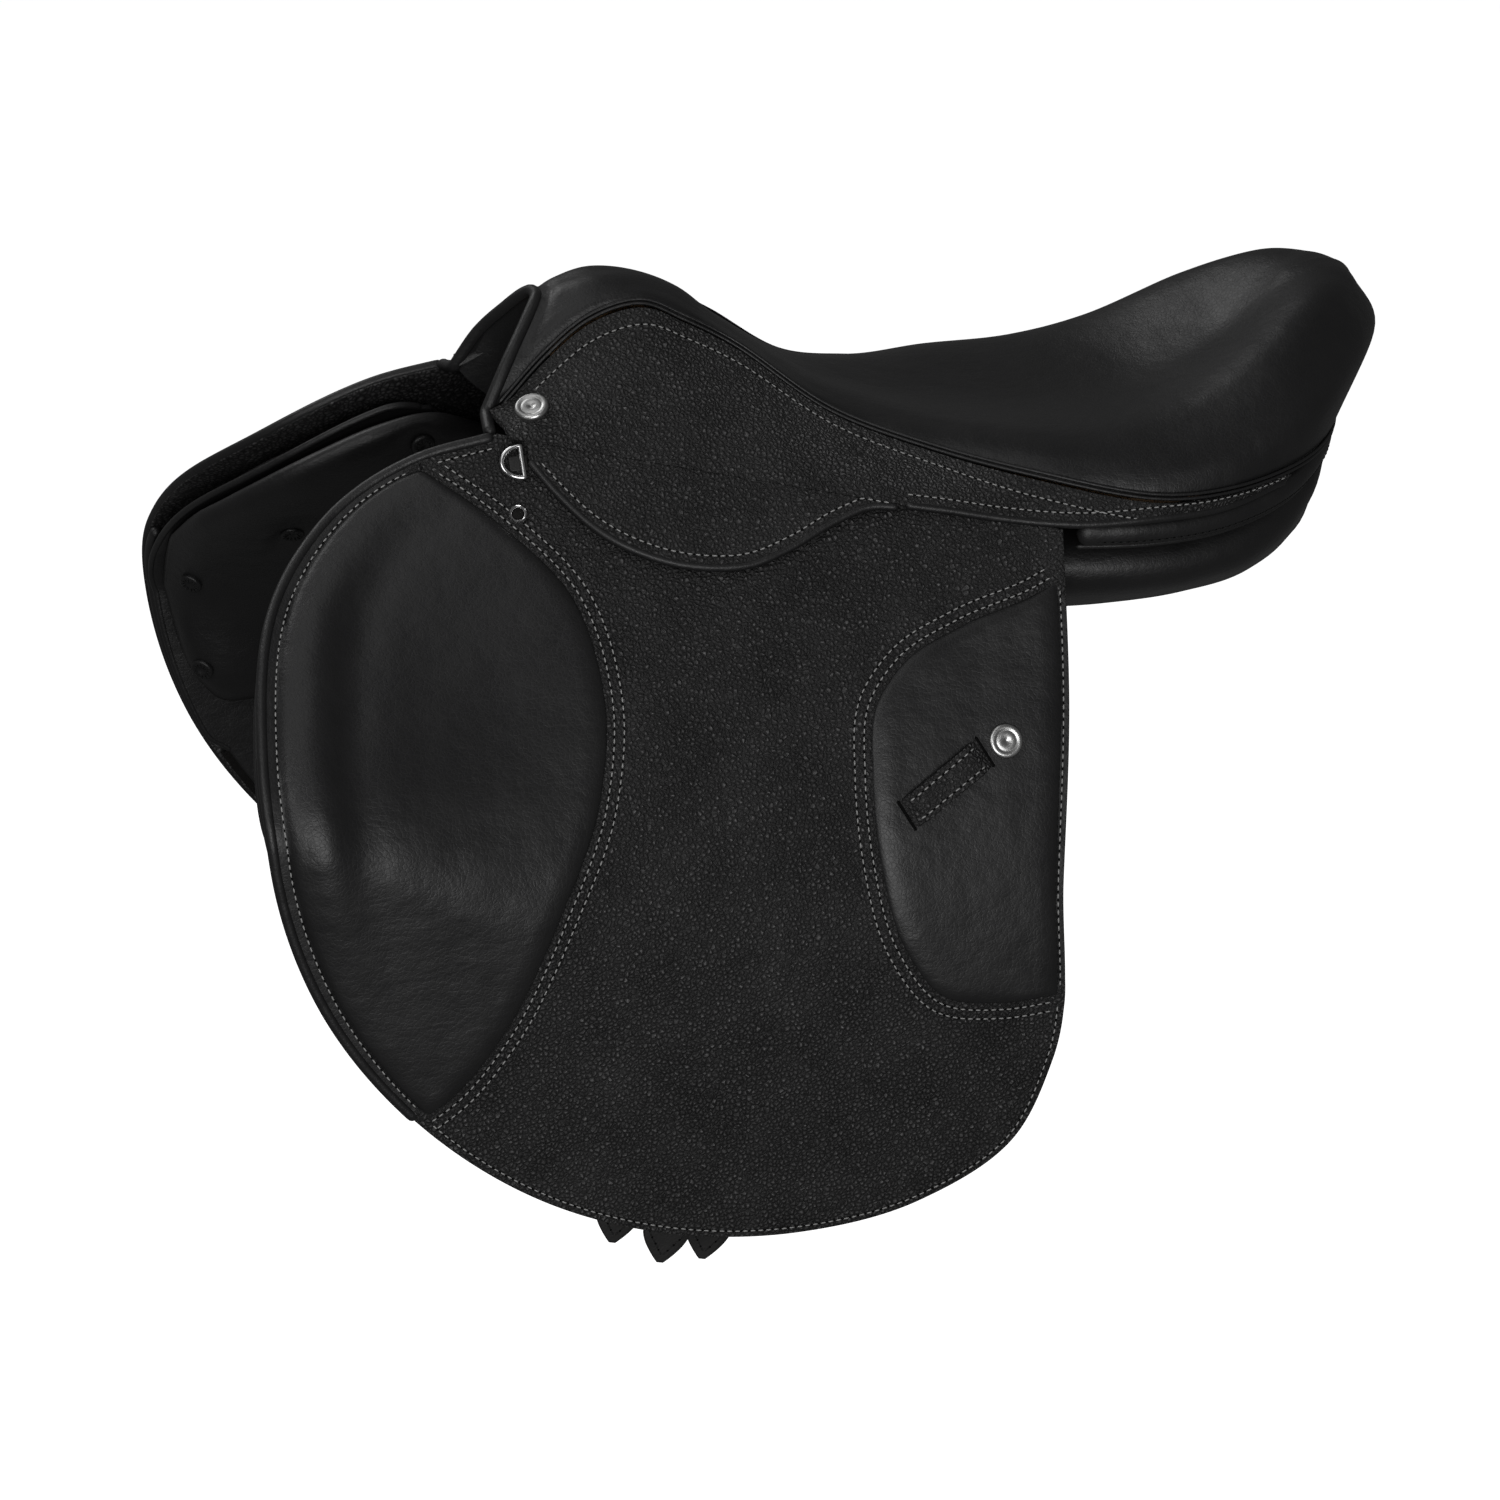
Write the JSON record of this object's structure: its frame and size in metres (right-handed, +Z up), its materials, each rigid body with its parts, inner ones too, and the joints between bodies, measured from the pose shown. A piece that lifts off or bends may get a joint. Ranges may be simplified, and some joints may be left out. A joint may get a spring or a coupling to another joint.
{
  "type": "english saddle",
  "caption": "Close-contact english jumping saddle with forward flaps, padded knee and calf patches, lifting skirts, stirrup bars, panels and girth straps.",
  "frame": {"origin": "on the middle plane, level with the undersides of the panels where they bear on the horse's back, about below the seat's lowest point", "axes": "+X from pommel to cantle (towards the horse's tail), +Y towards the off (right) side, +Z up"},
  "size_m": [0.6434, 0.419, 0.4802],
  "materials": {
    "smooth_leather": "smooth black calf leather with a satin finish",
    "grained_leather": "pebbled black cowhide",
    "strap_leather": "thick black bridle leather",
    "brushed_steel": "stainless steel with a brushed face",
    "polished_chrome": "bright chrome plate",
    "dark_foam": "closed-cell foam, matt",
    "black_webbing": "woven polyester webbing",
    "laminated_tree": "laminated beech, varnished"
  },
  "bodies": {
    "saddle_frame": {"seat_cover": "smooth_leather", "seat_piping": "smooth_leather", "seat_foam": "dark_foam", "front_girth_web": "black_webbing", "rear_girth_web": "black_webbing", "seat_web": "black_webbing", "tree": "laminated_tree", "head_plate": "brushed_steel", "gullet_lining": "smooth_leather", "pommel_binding": "smooth_leather", "rear_roll": "smooth_leather", "near_panel": "smooth_leather", "near_panel_tuft_1": "smooth_leather", "near_panel_tuft_2": "smooth_leather", "near_panel_tuft_3": "smooth_leather", "near_panel_tuft_4": "smooth_leather", "near_sweat_flap": "smooth_leather", "near_knee_block": "dark_foam", "near_skirt_band": "grained_leather", "near_stirrup_bar": "brushed_steel", "near_nail_head": "brushed_steel", "off_panel": "smooth_leather", "off_panel_tuft_1": "smooth_leather", "off_panel_tuft_2": "smooth_leather", "off_panel_tuft_3": "smooth_leather", "off_panel_tuft_4": "smooth_leather", "off_sweat_flap": "smooth_leather", "off_knee_block": "dark_foam", "off_skirt_band": "grained_leather", "off_stirrup_bar": "brushed_steel", "off_nail_head": "brushed_steel"},
    "near_flap_group": {"near_flap": "grained_leather", "near_knee_patch": "smooth_leather", "near_calf_patch": "smooth_leather", "near_keeper": "grained_leather", "near_badge": "brushed_steel", "near_small_stud": "polished_chrome", "near_dee_tab": "strap_leather"},
    "near_skirt_lobe": {"near_skirt": "grained_leather"},
    "near_dee_ring": {"near_dee": "polished_chrome"},
    "near_catch": {"near_bar_catch": "brushed_steel"},
    "near_front_strap": {"near_front_billet": "strap_leather"},
    "near_middle_strap": {"near_middle_billet": "strap_leather"},
    "near_rear_strap": {"near_rear_billet": "strap_leather"},
    "off_flap_group": {"off_flap": "grained_leather", "off_knee_patch": "smooth_leather", "off_calf_patch": "smooth_leather", "off_keeper": "grained_leather", "off_badge": "brushed_steel", "off_small_stud": "polished_chrome", "off_dee_tab": "strap_leather"},
    "off_skirt_lobe": {"off_skirt": "grained_leather"},
    "off_dee_ring": {"off_dee": "polished_chrome"},
    "off_catch": {"off_bar_catch": "brushed_steel"},
    "off_front_strap": {"off_front_billet": "strap_leather"},
    "off_middle_strap": {"off_middle_billet": "strap_leather"},
    "off_rear_strap": {"off_rear_billet": "strap_leather"}
  },
  "joints": [
    {"name": "near_flap_lift", "type": "hinge", "parent": "saddle_frame", "child": "near_flap_group", "pos_m": [-0.216, -0.0707, 0.1162], "axis": [-0.9601, 0.2033, 0.192], "range_deg": [0, 72]},
    {"name": "near_skirt_lift", "type": "hinge", "parent": "near_flap_group", "child": "near_skirt_lobe", "pos_m": [-0.216, -0.0707, 0.1162], "axis": [-0.9601, 0.2033, 0.192], "range_deg": [0, 45]},
    {"name": "near_dee_swing", "type": "hinge", "parent": "near_flap_group", "child": "near_dee_ring", "pos_m": [-0.21074, -0.07802, 0.1057], "axis": [0, 0.6118, 0.791], "range_deg": [0, 100]},
    {"name": "near_catch_tip", "type": "hinge", "parent": "saddle_frame", "child": "near_catch", "pos_m": [-0.0972, -0.09451, 0.06294], "axis": [0, 1, 0], "range_deg": [0, 90]},
    {"name": "near_front_billet_swing", "type": "hinge", "parent": "saddle_frame", "child": "near_front_strap", "pos_m": [-0.11203, -0.11903, 0.03021], "axis": [0.0485, 0.9691, -0.2419], "range_deg": [0, 3]},
    {"name": "near_middle_billet_swing", "type": "hinge", "parent": "saddle_frame", "child": "near_middle_strap", "pos_m": [-0.08796, -0.12361, 0.0335], "axis": [0.0485, 0.971, -0.2341], "range_deg": [0, 3]},
    {"name": "near_rear_billet_swing", "type": "hinge", "parent": "saddle_frame", "child": "near_rear_strap", "pos_m": [-0.06381, -0.11916, 0.03054], "axis": [0.0486, 0.9719, -0.2302], "range_deg": [0, 3]},
    {"name": "off_flap_lift", "type": "hinge", "parent": "saddle_frame", "child": "off_flap_group", "pos_m": [-0.216, 0.0707, 0.1162], "axis": [0.9601, 0.2033, -0.192], "range_deg": [0, 72]},
    {"name": "off_skirt_lift", "type": "hinge", "parent": "off_flap_group", "child": "off_skirt_lobe", "pos_m": [-0.216, 0.0707, 0.1162], "axis": [0.9601, 0.2033, -0.192], "range_deg": [0, 45]},
    {"name": "off_dee_swing", "type": "hinge", "parent": "off_flap_group", "child": "off_dee_ring", "pos_m": [-0.21074, 0.07802, 0.1057], "axis": [0, 0.6118, -0.791], "range_deg": [0, 100]},
    {"name": "off_catch_tip", "type": "hinge", "parent": "saddle_frame", "child": "off_catch", "pos_m": [-0.0972, 0.09451, 0.06294], "axis": [0, 1, 0], "range_deg": [0, 90]},
    {"name": "off_front_billet_swing", "type": "hinge", "parent": "saddle_frame", "child": "off_front_strap", "pos_m": [-0.11203, 0.11903, 0.03021], "axis": [-0.0485, 0.9691, 0.2419], "range_deg": [0, 3]},
    {"name": "off_middle_billet_swing", "type": "hinge", "parent": "saddle_frame", "child": "off_middle_strap", "pos_m": [-0.08796, 0.12361, 0.0335], "axis": [-0.0485, 0.971, 0.2341], "range_deg": [0, 3]},
    {"name": "off_rear_billet_swing", "type": "hinge", "parent": "saddle_frame", "child": "off_rear_strap", "pos_m": [-0.06381, 0.11916, 0.03054], "axis": [-0.0486, 0.9719, 0.2302], "range_deg": [0, 3]}
  ]
}
